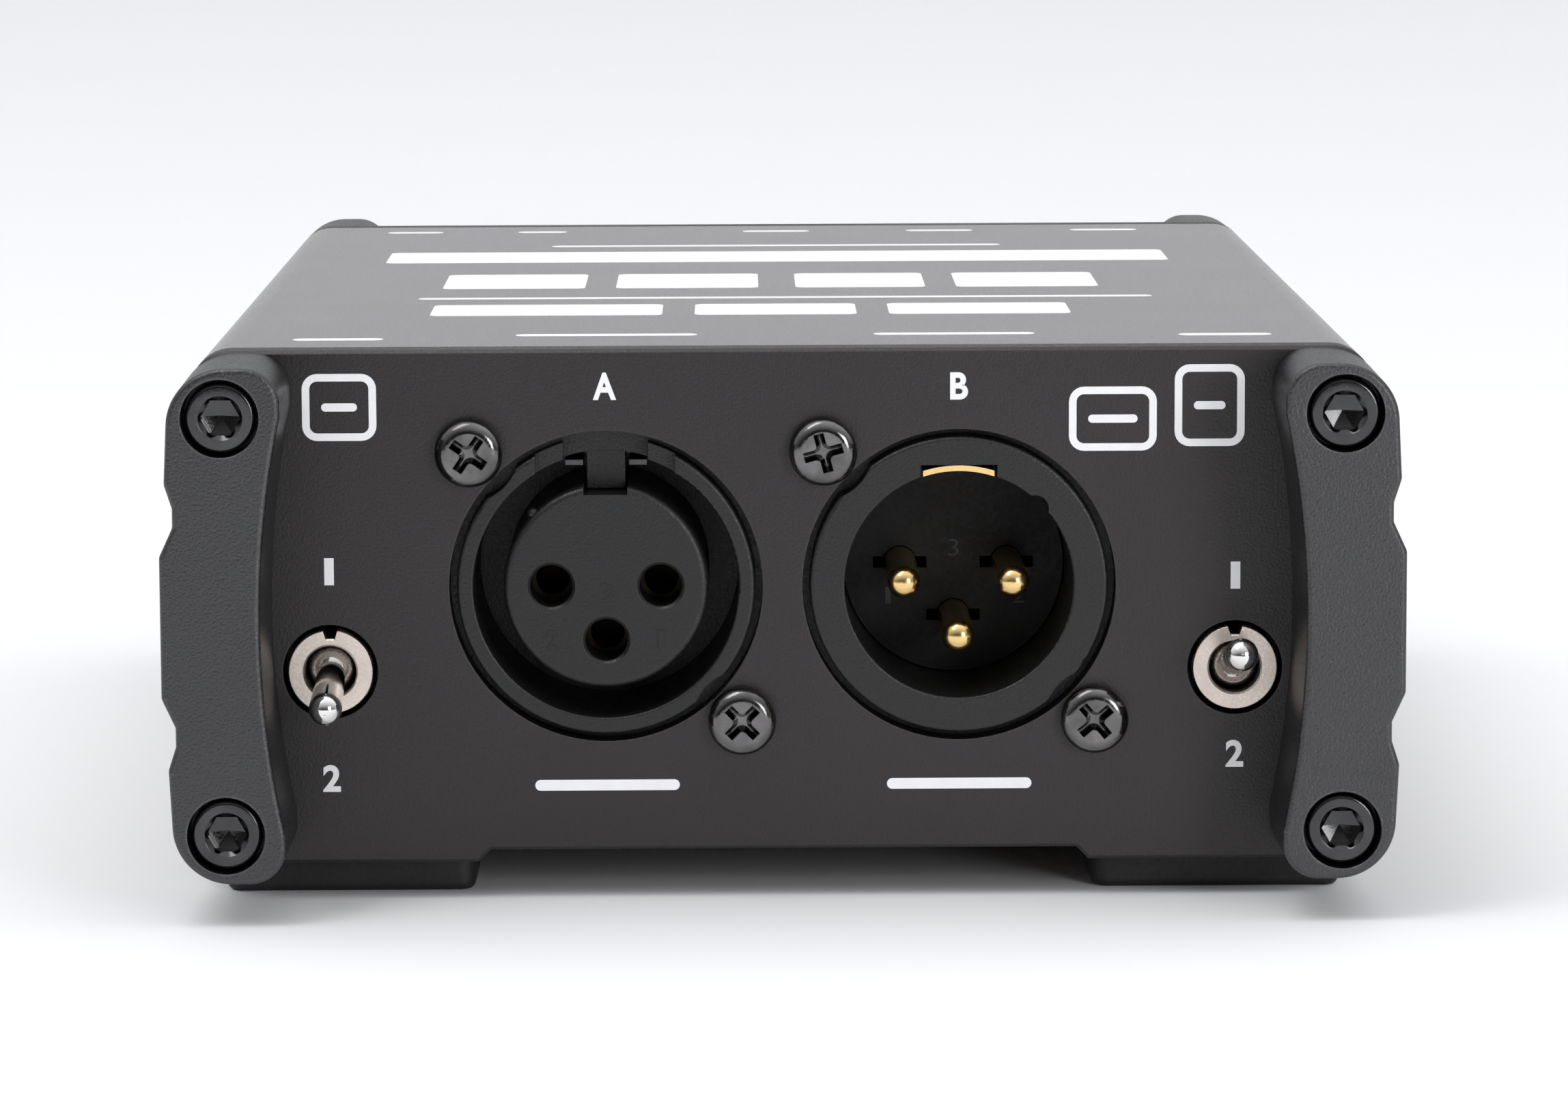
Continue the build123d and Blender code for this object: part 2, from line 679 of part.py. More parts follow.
# ---------------------------------------------------------------- toggle switches
def make_bushing(x, face_y, end):
    with BuildPart() as bushing:
        with BuildSketch(upright(face_y, x, toggle_z)):
            Circle(bushing_diameter / 2)
            Circle(bushing_bore / 2, mode=Mode.SUBTRACT)
            with Locations((0, bushing_diameter / 2)):
                Rectangle(keyway_width, 2 * keyway_depth, mode=Mode.SUBTRACT)
        extrude(amount=end * bushing_length)
        rims = bushing.faces().sort_by(Axis.Y)[0 if end < 0 else -1].edges()
        chamfer(rims.filter_by(GeomType.CIRCLE), length=bushing_chamfer)
    return bushing


def make_switch_body(x, face_y, end):
    """A closed case on the board, with a pocket for the lever's tail behind the bushing."""
    case_front = face_y - end * bushing_length
    with BuildPart() as case:
        with BuildSketch(upright(case_front, x, toggle_z)):
            Rectangle(toggle_body_width, 2 * toggle_height)
        extrude(amount=end * toggle_body_depth)
        with BuildSketch(upright(case_front, x, toggle_z)):
            Rectangle(toggle_body_width - 2 * toggle_body_wall, 2 * (toggle_height - toggle_body_wall))
        extrude(amount=end * (toggle_body_depth - toggle_body_wall), mode=Mode.SUBTRACT)
    return case


def make_lever(x, face_y, end, tilt):
    """A bat-shaped lever on a ball, built at the tilt that it rests at. tilt is positive when up."""
    pivot = (x, face_y - end * pivot_depth, toggle_z)
    along = (0, end * cos(radians(tilt)), sin(radians(tilt)))
    lever_plane = Plane(origin=pivot, x_dir=(1, 0, 0), z_dir=(0, -along[2], along[1]))
    reach = lever_length + pivot_depth
    tip = lever_tip_diameter / 2
    with BuildPart() as lever:
        with BuildSketch(lever_plane):
            with BuildLine():
                Polyline(
                    (0, reach),
                    (0, -lever_tail),
                    (lever_tail_diameter / 2, -lever_tail),
                    (lever_tail_diameter / 2, 0),
                    (lever_neck_diameter / 2, 0),
                    (tip, reach - tip),
                )
                RadiusArc((tip, reach - tip), (0, reach), -tip)
            make_face()
        revolve(axis=Axis(origin=pivot, direction=along))
        with Locations(pivot):
            Sphere(bushing_bore / 2 - pivot_clearance)
    return lever


def make_terminals(x, face_y, end):
    """Three solder pins from the back of a switch, each turned down through the board."""
    case_back = face_y - end * (bushing_length + toggle_body_depth)
    with BuildPart() as terminals:
        for step in (-1, 0, 1):
            turn_y = case_back - end * (2 + step) * terminal_row_pitch
            pin_z = toggle_z + step * terminal_pitch
            add(wire_to_board(terminal_diameter / 2, x, pin_z, case_back, turn_y))
    return terminals


switches = (
    ("select_switch", -toggle_x, front_y, -1, -lever_tilt),
    ("lift_switch", toggle_x, front_y, -1, lever_tilt),
    ("pad_switch", pad_switch_x, rear_y, 1, lever_tilt),
)
for name, x, face_y, end, tilt in switches:
    save(make_bushing(x, face_y, end), f"{name}_bushing")
    save(make_switch_body(x, face_y, end), f"{name}_body")
    save(make_lever(x, face_y, end, tilt), f"{name}_lever")
    save(make_terminals(x, face_y, end), f"{name}_terminals")


# ---------------------------------------------------------------- quarter inch jacks
leaf_offset = jack_bore / 2 + leaf_thickness


def make_jack_body(x):
    """A box on the board with a threaded nose through the panel, hollow inside for the plug."""
    body_back = rear_panel_inner - jack_body_depth
    body_top_z = board_top + jack_body_height
    with BuildPart() as body:
        with BuildSketch(upright(rear_panel_inner, x)):
            with Locations((0, (board_top + body_top_z) / 2)):
                Rectangle(jack_body_width, jack_body_height)
        extrude(amount=jack_body_depth)
        with BuildSketch(upright(rear_panel_inner - jack_front_wall, x)):
            with Locations((0, (board_top + body_top_z) / 2)):
                Rectangle(jack_body_width - 2 * jack_body_wall, jack_body_height - 2 * jack_body_wall)
        extrude(amount=jack_body_depth - jack_front_wall - jack_body_wall, mode=Mode.SUBTRACT)
        with BuildSketch(upright(rear_y + jack_nose_proud, x, jack_z)):
            Circle(jack_nose_diameter / 2)
        extrude(amount=panel_thickness + jack_nose_proud)
        chamfer(body.faces().sort_by(Axis.Y)[-1].edges(), length=nose_chamfer)
        with BuildSketch(upright(rear_y + jack_nose_proud, x, jack_z)):
            Circle(jack_bore / 2)
        extrude(amount=panel_thickness + jack_nose_proud + jack_front_wall, mode=Mode.SUBTRACT)
        with BuildSketch(Plane((x, body_back + jack_body_depth / 2, board_top))):
            with GridLocations(2 * leaf_offset, jack_body_depth / 2, 2, 2):
                Circle(wire_diameter / 2 + pin_hole_clearance)
        extrude(amount=jack_body_wall, mode=Mode.SUBTRACT)
    return body


def make_jack_nut(x):
    with BuildPart() as nut:
        with BuildSketch(upright(rear_y + jack_nut_height, x, jack_z)):
            RegularPolygon(jack_nut_width / 2, 6, major_radius=False)
        extrude(amount=jack_nut_height)
        face = nut.faces().sort_by(Axis.Y)[-1]
        chamfer(face.edges(), length=jack_nut_chamfer)
        with BuildSketch(upright(rear_y + jack_nut_height, x, jack_z)):
            Circle(jack_nose_diameter / 2 + thread_clearance)
        extrude(amount=jack_nut_height, mode=Mode.SUBTRACT)
    return nut


def make_jack_contacts(x):
    """Four leaf contacts beside the plug's path, each with a pin through the board."""
    body_middle = rear_panel_inner - jack_body_depth / 2
    leaf_length = jack_body_depth / 2 - 2 * (jack_front_wall + contact_clearance)
    with BuildPart() as contacts:
        for side in (-1, 1):
            for row in (-1, 1):
                centre = (x + side * leaf_offset, body_middle + row * jack_body_depth / 4)
                with BuildSketch(Plane((*centre, jack_z - leaf_width / 2))):
                    Rectangle(leaf_thickness, leaf_length)
                extrude(amount=leaf_width)
                with BuildSketch(Plane((*centre, pin_end))):
                    Circle(wire_diameter / 2)
                extrude(amount=jack_z - leaf_width / 2 + leaf_thickness - pin_end)
    return contacts


for name, x in (("input_jack", input_jack_x), ("thru_jack", thru_jack_x)):
    save(make_jack_body(x), f"{name}_body")
    save(make_jack_nut(x), f"{name}_nut")
    save(make_jack_contacts(x), f"{name}_contacts")

# ---------------------------------------------------------------- 3.5 mm jack
mini_body_height = 2 * mini_height
with BuildPart() as mini_jack_body:
    with BuildSketch(upright(rear_panel_inner, mini_jack_x, mini_z)):
        Rectangle(mini_body_width, mini_body_height)
    extrude(amount=mini_body_depth)
    with BuildSketch(upright(rear_y + mini_nose_proud, mini_jack_x, mini_z)):
        Circle(mini_nose_diameter / 2)
    extrude(amount=panel_thickness + mini_nose_proud)
    with BuildSketch(upright(rear_y + mini_nose_proud, mini_jack_x, mini_z)):
        Circle(mini_bore / 2)
    extrude(amount=panel_thickness + mini_nose_proud + mini_body_depth - jack_body_wall, mode=Mode.SUBTRACT)
save(mini_jack_body, "mini_jack_body")

with BuildPart() as mini_jack_nut:
    with BuildSketch(upright(rear_y + mini_nut_height, mini_jack_x, mini_z)):
        Circle(mini_nut_diameter / 2)
        Circle(mini_nose_diameter / 2 + thread_clearance, mode=Mode.SUBTRACT)
        with PolarLocations(mini_nut_diameter / 2, 2):
            Rectangle(*mini_nut_slot, mode=Mode.SUBTRACT)
    extrude(amount=mini_nut_height)
save(mini_jack_nut, "mini_jack_nut")

mini_pin_y = [rear_panel_inner - depth for depth in mini_pin_depths]
mini_pin_x = mini_body_width / 2 + wire_diameter / 2
with BuildPart() as mini_jack_contacts:
    for pin_y in mini_pin_y:
        with BuildSketch(Plane((mini_jack_x + mini_pin_x, pin_y, pin_end))):
            Circle(wire_diameter / 2)
        extrude(amount=board_top + mini_pin_rise - pin_end)
save(mini_jack_contacts, "mini_jack_contacts")

# ---------------------------------------------------------------- stacked phono pair
phono_housing_top = phono_high + phono_height
with BuildPart() as phono_housing:
    with BuildSketch(upright(rear_panel_inner, phono_x)):
        with Locations((0, (board_top + phono_housing_top) / 2)):
            Rectangle(phono_housing_width, phono_housing_top - board_top)
    extrude(amount=phono_housing_depth)
    with BuildSketch(upright(rear_panel_inner, phono_x)):
        with Locations((0, phono_low), (0, phono_high)):
            Circle(phono_neck_diameter / 2 + contact_clearance)
    extrude(amount=phono_housing_depth / 2, mode=Mode.SUBTRACT)
save(phono_housing, "phono_housing")

barrel_back = rear_panel_inner - phono_housing_depth / 2
barrel_front = rear_y + phono_barrel_proud
with BuildPart() as phono_barrels:
    with BuildSketch(upright(barrel_front, phono_x)):
        with Locations((0, phono_low), (0, phono_high)):
            Circle(phono_barrel_diameter / 2)
    extrude(amount=phono_barrel_proud - phono_shoulder)
    chamfer(phono_barrels.faces().filter_by(Axis.Y).group_by(Axis.Y)[-1].edges(), length=nose_chamfer)
    with BuildSketch(upright(rear_y + phono_shoulder, phono_x)):
        with Locations((0, phono_low), (0, phono_high)):
            Circle(phono_neck_diameter / 2)
    extrude(amount=rear_y + phono_shoulder - barrel_back)
    with BuildSketch(upright(barrel_front, phono_x)):
        with Locations((0, phono_low), (0, phono_high)):
            Circle(phono_barrel_inner / 2)
    extrude(amount=barrel_front - barrel_back, mode=Mode.SUBTRACT)
save(phono_barrels, "phono_barrels")

insulator_front = barrel_front - phono_insulator_sunk
for name, height in (("phono_insulator_lower", phono_low), ("phono_insulator_upper", phono_high)):
    with BuildPart() as insulator:
        with BuildSketch(upright(insulator_front, phono_x, height)):
            Circle(phono_barrel_inner / 2 - contact_clearance)
            Circle(phono_pin_hole / 2, mode=Mode.SUBTRACT)
        extrude(amount=insulator_front - barrel_back)
    save(insulator, name)

contact_front = insulator_front - phono_contact_sunk
with BuildPart() as phono_contacts:
    with BuildSketch(upright(contact_front, phono_x)):
        with Locations((0, phono_low), (0, phono_high)):
            Circle(phono_pin_hole / 2 - contact_clearance)
            Circle(phono_pin_hole / 2 - leaf_thickness, mode=Mode.SUBTRACT)
    extrude(amount=contact_front - barrel_back)
save(phono_contacts, "phono_contacts")

# ---------------------------------------------------------------- transformer
core_bottom = board_top + core_stand
core_top = core_bottom + core_height
core_middle = (core_bottom + core_top) / 2
window_height = core_height - 2 * core_yoke
window_width = (core_width - core_centre_leg) / 2 - core_side_leg
window_x = core_centre_leg / 2 + window_width / 2

with BuildPart() as transformer_core:
    with BuildSketch(upright(core_stack / 2, 0, core_middle)):
        Rectangle(core_width, core_height)
        with Locations((-window_x, 0), (window_x, 0)):
            Rectangle(window_width, window_height, mode=Mode.SUBTRACT)
    extrude(amount=core_stack)
save(transformer_core, "transformer_core")

bobbin_inner_x = core_centre_leg + 2 * bobbin_clearance
bobbin_inner_y = core_stack + 2 * bobbin_clearance
bobbin_height = window_height - 2 * bobbin_clearance
flange_x = core_centre_leg + 2 * window_width - 2 * bobbin_clearance
flange_y = bobbin_inner_y + 2 * (bobbin_wall + winding_thickness + flange_overhang)
bobbin_bottom = core_middle - bobbin_height / 2
bobbin_top = core_middle + bobbin_height / 2

with BuildPart() as transformer_bobbin:
    for level in (bobbin_bottom, bobbin_top - bobbin_wall):
        with BuildSketch(Plane((0, 0, level))):
            Rectangle(flange_x, flange_y)
        extrude(amount=bobbin_wall)
    with BuildSketch(Plane((0, 0, bobbin_bottom))):
        Rectangle(bobbin_inner_x + 2 * bobbin_wall, bobbin_inner_y + 2 * bobbin_wall)
    extrude(amount=bobbin_height)
    with BuildSketch(Plane((0, 0, bobbin_bottom))):
        Rectangle(bobbin_inner_x, bobbin_inner_y)
    extrude(amount=bobbin_height, mode=Mode.SUBTRACT)
save(transformer_bobbin, "transformer_bobbin")

coil_gap = 0.1
coil_inner_x = bobbin_inner_x + 2 * (bobbin_wall + coil_gap)
coil_inner_y = bobbin_inner_y + 2 * (bobbin_wall + coil_gap)
with BuildPart() as transformer_winding:
    with BuildSketch(Plane((0, 0, bobbin_bottom + bobbin_wall + coil_gap))):
        coil_depth = coil_inner_y + 2 * winding_thickness
        RectangleRounded(flange_x - 2 * coil_gap, coil_depth, winding_corner_radius)
        Rectangle(coil_inner_x, coil_inner_y, mode=Mode.SUBTRACT)
    extrude(amount=bobbin_height - 2 * (bobbin_wall + coil_gap))
save(transformer_winding, "transformer_winding")

strap_inner = core_width + 2 * bobbin_clearance
strap_outer = strap_inner + 2 * strap_thickness
strap_foot = strap_outer + 2 * strap_tab
strap_hole_x = strap_foot / 2 - strap_tab / 2
with BuildPart() as transformer_bracket:
    with BuildSketch(upright(core_stack / 2)):
        with BuildLine():
            Polyline(
                (-strap_foot / 2, board_top),
                (-strap_foot / 2, board_top + strap_thickness),
                (-strap_outer / 2, board_top + strap_thickness),
                (-strap_outer / 2, core_top + strap_thickness),
                (strap_outer / 2, core_top + strap_thickness),
                (strap_outer / 2, board_top + strap_thickness),
                (strap_foot / 2, board_top + strap_thickness),
                (strap_foot / 2, board_top),
                (strap_inner / 2, board_top),
                (strap_inner / 2, core_top),
                (-strap_inner / 2, core_top),
                (-strap_inner / 2, board_top),
                close=True,
            )
        make_face()
    extrude(amount=core_stack)
    with BuildSketch(Plane((0, 0, board_top))):
        with Locations((-strap_hole_x, 0), (strap_hole_x, 0)):
            Circle(strap_screw_diameter / 2 + screw_hole_clearance)
    extrude(amount=strap_thickness, mode=Mode.SUBTRACT)
save(transformer_bracket, "transformer_bracket")

with BuildPart() as transformer_screws:
    with BuildSketch(Plane((0, 0, board_bottom - strap_screw_tail))):
        with Locations((-strap_hole_x, 0), (strap_hole_x, 0)):
            Circle(strap_screw_diameter / 2)
    extrude(amount=board_thickness + strap_screw_tail + strap_thickness)
    with BuildSketch(Plane((0, 0, board_top + strap_thickness))):
        with Locations((-strap_hole_x, 0), (strap_hole_x, 0)):
            Circle(strap_head_diameter / 2)
    extrude(amount=strap_head_height)
save(transformer_screws, "transformer_screws")

# ---------------------------------------------------------------- small parts on the board
resistor_body = 6.3
resistor_radius = 1.2
resistor_pitch = 10.0
resistor_lift = 0.1
resistor_lead_radius = 0.3
resistor_row_y = -24.0
resistor_places = [(x, resistor_row_y) for x in (-24, -19, -14, 14, 19, 24)]
with BuildPart() as resistors:
    for x, y in resistor_places:
        axis_z = board_top + resistor_lift + resistor_radius
        with BuildSketch(upright(y + resistor_body / 2, x, axis_z)):
            Circle(resistor_radius)
        extrude(amount=resistor_body)
        with BuildSketch(upright(y + resistor_pitch / 2, x, axis_z)):
            Circle(resistor_lead_radius)
        extrude(amount=resistor_pitch)
        for end in (-1, 1):
            with BuildSketch(Plane((x, y + end * resistor_pitch / 2, pin_end))):
                Circle(resistor_lead_radius)
            extrude(amount=axis_z - pin_end + resistor_lead_radius)
save(resistors, "resistors")

capacitor_places = [(-27.0, -4.0), (27.0, -4.0), (-27.0, 8.0)]
capacitor_height = 9.0
capacitor_pitch = 5.0
capacitor_width = 7.2
capacitor_depth = 4.5
capacitor_corner_radius = 0.6
with BuildPart() as capacitors:
    with BuildSketch(Plane((0, 0, board_top))):
        with Locations(*capacitor_places):
            RectangleRounded(capacitor_width, capacitor_depth, capacitor_corner_radius)
    extrude(amount=capacitor_height)
    with BuildSketch(Plane((0, 0, pin_end))):
        for x, y in capacitor_places:
            with Locations((x - capacitor_pitch / 2, y), (x + capacitor_pitch / 2, y)):
                Circle(resistor_lead_radius)
    extrude(amount=board_top - pin_end)
save(capacitors, "capacitors")

# A bent strip on the board that presses on the side wall and earths the enclosure.
clip_wall_gap = 1.0  # from the rail
clip_x = inner_half_width - rail_depth - clip_wall_gap
clip_y = 20.0
clip_width = 5.0
clip_foot = 5.0
clip_height = 8.0
clip_sheet = 0.5
with BuildPart() as ground_clip:
    with BuildSketch(upright(clip_y + clip_width / 2)):
        with BuildLine():
            Polyline(
                (-clip_x + clip_foot, board_top),
                (-clip_x, board_top),
                (-clip_x, board_top + clip_height),
                (-inner_half_width + contact_clearance, board_top + clip_height),
                (-inner_half_width + contact_clearance, board_top + clip_height + clip_sheet),
                (-clip_x + clip_sheet, board_top + clip_height + clip_sheet),
                (-clip_x + clip_sheet, board_top + clip_sheet),
                (-clip_x + clip_foot, board_top + clip_sheet),
                close=True,
            )
        make_face()
    extrude(amount=clip_width)
save(ground_clip, "ground_clip")

# ---------------------------------------------------------------- board
# Holes pass every solder pin and screw that is listed here.
pin_radius = wire_diameter / 2 + pin_hole_clearance
board_holes = [(centre + dx, tail_y) for centre in (xlr_in_x, xlr_out_x) for dx, _ in contact_places]
for _, x, face_y, end, _ in switches:
    case_back = face_y - end * (bushing_length + toggle_body_depth)
    board_holes += [(x, case_back - end * (2 + step) * terminal_row_pitch) for step in (-1, 0, 1)]
for x in (input_jack_x, thru_jack_x):
    middle = rear_panel_inner - jack_body_depth / 2
    quarter = jack_body_depth / 4
    board_holes += [(x + side * leaf_offset, middle + row * quarter) for side in (-1, 1) for row in (-1, 1)]
board_holes += [(mini_jack_x + mini_pin_x, pin_y) for pin_y in mini_pin_y]
board_holes += [(x, y + end * resistor_pitch / 2) for x, y in resistor_places for end in (-1, 1)]
board_holes += [(x + end * capacitor_pitch / 2, y) for x, y in capacitor_places for end in (-1, 1)]
board_width = 2 * (inner_half_width - board_side_clearance)

with BuildPart() as main_board:
    with BuildSketch(Plane.XY.offset(board_bottom)):
        with Locations((0, (board_front + board_rear) / 2)):
            Rectangle(board_width, board_rear - board_front)
        with Locations(*board_holes):
            Circle(pin_radius, mode=Mode.SUBTRACT)
        with Locations((-strap_hole_x, 0), (strap_hole_x, 0)):
            Circle(strap_screw_diameter / 2 + thread_clearance, mode=Mode.SUBTRACT)
    extrude(amount=board_thickness)
save(main_board, "main_board")
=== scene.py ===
import json
import math

import bmesh
import bpy
from mathutils import Matrix, Vector


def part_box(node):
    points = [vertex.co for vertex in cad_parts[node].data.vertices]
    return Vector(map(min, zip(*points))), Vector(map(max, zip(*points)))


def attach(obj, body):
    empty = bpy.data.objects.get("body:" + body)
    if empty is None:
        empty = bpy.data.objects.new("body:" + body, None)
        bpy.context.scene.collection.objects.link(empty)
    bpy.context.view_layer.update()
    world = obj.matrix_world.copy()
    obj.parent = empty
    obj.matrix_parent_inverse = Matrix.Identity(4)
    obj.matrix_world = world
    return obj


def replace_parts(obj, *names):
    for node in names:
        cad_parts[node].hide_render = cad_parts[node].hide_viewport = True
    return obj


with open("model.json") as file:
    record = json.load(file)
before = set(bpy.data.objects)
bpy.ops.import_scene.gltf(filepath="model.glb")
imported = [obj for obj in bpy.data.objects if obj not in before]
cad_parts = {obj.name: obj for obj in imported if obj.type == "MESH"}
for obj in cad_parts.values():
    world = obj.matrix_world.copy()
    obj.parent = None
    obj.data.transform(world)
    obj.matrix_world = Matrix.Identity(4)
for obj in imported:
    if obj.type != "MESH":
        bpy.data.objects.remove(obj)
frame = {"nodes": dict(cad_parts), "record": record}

MM = 0.001
parts = frame["nodes"]
scene = bpy.context.scene
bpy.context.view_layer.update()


def corners(*names):
    """Lowest and highest corner of some nodes together, in millimetres."""
    boxes = [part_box(name) for name in names]
    low = [min(box[0][i] for box in boxes) / MM for i in range(3)]
    high = [max(box[1][i] for box in boxes) / MM for i in range(3)]
    return low, high


# ---------------------------------------------------------------- materials
class Finish:
    """A procedural material. Lengths in its patterns are in millimetres."""

    def __init__(self, name, colour, roughness, metallic=0.0):
        self.mat = bpy.data.materials.new(name)
        self.mat.use_nodes = True
        self.nodes = self.mat.node_tree.nodes
        self.links = self.mat.node_tree.links
        self.bsdf = self.nodes["Principled BSDF"]
        self.bsdf.inputs["Metallic"].default_value = metallic
        self.place = self.add("ShaderNodeTexCoord").outputs["Object"]
        self.colour = self.rgb(colour)
        self.rough = self.value(roughness)
        self.normal = None

    def add(self, kind, **values):
        node = self.nodes.new(kind)
        for key, value in values.items():
            setattr(node, key, value)
        return node

    def rgb(self, colour):
        node = self.add("ShaderNodeRGB")
        node.outputs[0].default_value = (*colour, 1.0)
        return node.outputs[0]

    def value(self, number):
        node = self.add("ShaderNodeValue")
        node.outputs[0].default_value = number
        return node.outputs[0]

    def math(self, operation, first, second=None, clamp=False):
        node = self.add("ShaderNodeMath", operation=operation, use_clamp=clamp)
        for socket, item in zip(node.inputs, (first, second)):
            if isinstance(item, (int, float)):
                socket.default_value = item
            elif item is not None:
                self.links.new(item, socket)
        return node.outputs[0]

    def noise(self, scale, stretch=(1, 1, 1), detail=4.0, rough=0.55):
        """Noise with about scale features per millimetre."""
        mapping = self.add("ShaderNodeMapping")
        mapping.inputs["Scale"].default_value = [scale * s / MM for s in stretch]
        self.links.new(self.place, mapping.inputs["Vector"])
        node = self.add("ShaderNodeTexNoise")
        node.inputs["Scale"].default_value = 1.0
        node.inputs["Detail"].default_value = detail
        node.inputs["Roughness"].default_value = rough
        self.links.new(mapping.outputs[0], node.inputs["Vector"])
        return node.outputs["Fac"]

    def spread(self, source, low, high, source_low=0.3, source_high=0.7):
        node = self.add("ShaderNodeMapRange")
        for index, number in enumerate((source_low, source_high, low, high), start=1):
            node.inputs[index].default_value = number
        self.links.new(source, node.inputs[0])
        return node.outputs[0]

    def mix(self, factor, first, second):
        node = self.add("ShaderNodeMix", data_type="RGBA")
        for socket, item in ((node.inputs[0], factor), (node.inputs[6], first), (node.inputs[7], second)):
            if isinstance(item, (int, float)):
                socket.default_value = item
            elif isinstance(item, tuple):
                socket.default_value = (*item, 1.0)
            else:
                self.links.new(item, socket)
        return node.outputs[2]

    def cloudy(self, scale, amount, stretch=(1, 1, 1)):
        """Slow changes of brightness and roughness over the surface."""
        cloud = self.noise(scale, stretch, detail=6.0)
        gain = self.spread(cloud, 1 - amount, 1 + amount)
        grey = self.add("ShaderNodeCombineColor")
        for socket in grey.inputs:
            self.links.new(gain, socket)
        multiply = self.add("ShaderNodeMix", data_type="RGBA", blend_type="MULTIPLY")
        multiply.inputs[0].default_value = 1.0
        self.links.new(self.colour, multiply.inputs[6])
        self.links.new(grey.outputs[0], multiply.inputs[7])
        self.colour = multiply.outputs[2]
        self.rough = self.math("MULTIPLY", self.rough, self.spread(cloud, 1 + amount, 1 - amount))
        return self

    def bump(self, height, depth_mm):
        node = self.add("ShaderNodeBump")
        node.inputs["Strength"].default_value = 1.0
        node.inputs["Distance"].default_value = depth_mm * MM
        self.links.new(height, node.inputs["Height"])
        if self.normal is not None:
            self.links.new(self.normal, node.inputs["Normal"])
        self.normal = node.outputs[0]
        return self

    def grain(self, scale, depth_mm, stretch=(1, 1, 1), rough=0.0):
        """Fine texture that stands up by depth_mm, and may roughen the surface where it does."""
        fine = self.noise(scale, stretch, detail=3.0)
        self.bump(fine, depth_mm)
        if rough:
            self.rough = self.math("ADD", self.rough, self.spread(fine, -rough, rough))
        return self

    def soft_edges(self, radius_mm):
        node = self.add("ShaderNodeBevel", samples=4)
        node.inputs["Radius"].default_value = radius_mm * MM
        self.normal = node.outputs[0]
        return self

    def worn(self, radius_mm, colour, amount=0.6):
        """Edges rubbed towards another colour, broken up by noise."""
        bevel = self.add("ShaderNodeBevel", samples=4)
        bevel.inputs["Radius"].default_value = radius_mm * MM
        flat = self.add("ShaderNodeNewGeometry")
        dot = self.add("ShaderNodeVectorMath", operation="DOT_PRODUCT")
        self.links.new(bevel.outputs[0], dot.inputs[0])
        self.links.new(flat.outputs["Normal"], dot.inputs[1])
        edge = self.spread(dot.outputs["Value"], 1.0, 0.0, 0.8, 0.99)
        broken = self.math("MULTIPLY", edge, self.spread(self.noise(1.5), 0.1, 1.0))
        self.colour = self.mix(self.math("MULTIPLY", broken, amount), self.colour, colour)
        return self

    def done(self):
        self.links.new(self.colour, self.bsdf.inputs["Base Color"])
        self.links.new(self.rough, self.bsdf.inputs["Roughness"])
        if self.normal is not None:
            self.links.new(self.normal, self.bsdf.inputs["Normal"])
        return self.mat


def axis_position(finish, axis):
    """The X, Y or Z coordinate in millimetres."""
    split = finish.add("ShaderNodeSeparateXYZ")
    finish.links.new(finish.place, split.inputs[0])
    return finish.math("DIVIDE", split.outputs[axis], MM)


def threads(finish, pitch, start_y, depth_mm):
    """Thread turns along Y beyond start_y, counted away from the middle of the box."""
    y = finish.math("ABSOLUTE", axis_position(finish, 1))
    wave = finish.math("PINGPONG", y, pitch / 2)
    beyond = finish.math("GREATER_THAN", y, start_y)
    finish.bump(finish.math("MULTIPLY", wave, beyond), depth_mm * 2 / pitch)
    return finish


TIN_COLOUR = (0.66, 0.65, 0.63)

black = Finish("black_aluminium", (0.060, 0.0565, 0.0575), 0.42, 1.0).soft_edges(0.12)
black.cloudy(0.05, 0.03).grain(5.0, 0.03, rough=0.08).worn(0.25, (0.16, 0.155, 0.15), 0.35)
black_sleeve = Finish("black_aluminium_drawn", (0.105, 0.078, 0.062), 0.3, 1.0).soft_edges(0.12)
black_sleeve.bsdf.inputs["Coat Weight"].default_value = 0.8
black_sleeve.bsdf.inputs["Coat Roughness"].default_value = 0.22
black_sleeve.cloudy(0.05, 0.02).grain(4.0, 0.003, rough=0.03)
bumper = Finish("bumper_aluminium", (0.082, 0.082, 0.084), 0.34, 1.0).soft_edges(0.15)
bumper.cloudy(0.08, 0.05).grain(5.0, 0.05, rough=0.1).worn(0.3, (0.3, 0.3, 0.3), 0.55)
steel = Finish("black_steel", (0.07, 0.07, 0.072), 0.15, 1.0).soft_edges(0.06)
steel.cloudy(0.4, 0.15).grain(6.0, 0.004, rough=0.06).worn(0.15, (0.25, 0.25, 0.25), 0.3)
black_nickel = Finish("black_nickel", (0.145, 0.14, 0.14), 0.14, 1.0).soft_edges(0.08)
black_nickel.cloudy(0.5, 0.3).grain(2.5, 0.012, rough=0.06)
nickel = Finish("nickel", (0.68, 0.60, 0.54), 0.3, 1.0).soft_edges(0.06)
nickel.cloudy(0.3, 0.06).grain(5.0, 0.003, rough=0.06)
chrome = Finish("chrome_lever", (0.78, 0.77, 0.76), 0.09, 1.0)
chrome.cloudy(0.3, 0.04).grain(1.5, 0.002, rough=0.03)
rubber = Finish("foot_rubber", (0.012, 0.012, 0.0125), 0.62).soft_edges(0.3)
rubber.cloudy(0.15, 0.12).grain(2.5, 0.02, rough=0.08)
connector = Finish("connector_plastic", (0.009, 0.009, 0.0095), 0.36).soft_edges(0.1)
connector.cloudy(0.1, 0.08).grain(5.0, 0.035, rough=0.1)
insert = Finish("insert_plastic", (0.008, 0.008, 0.0085), 0.42).soft_edges(0.06)
insert.cloudy(0.15, 0.1).grain(4.0, 0.006, rough=0.08)
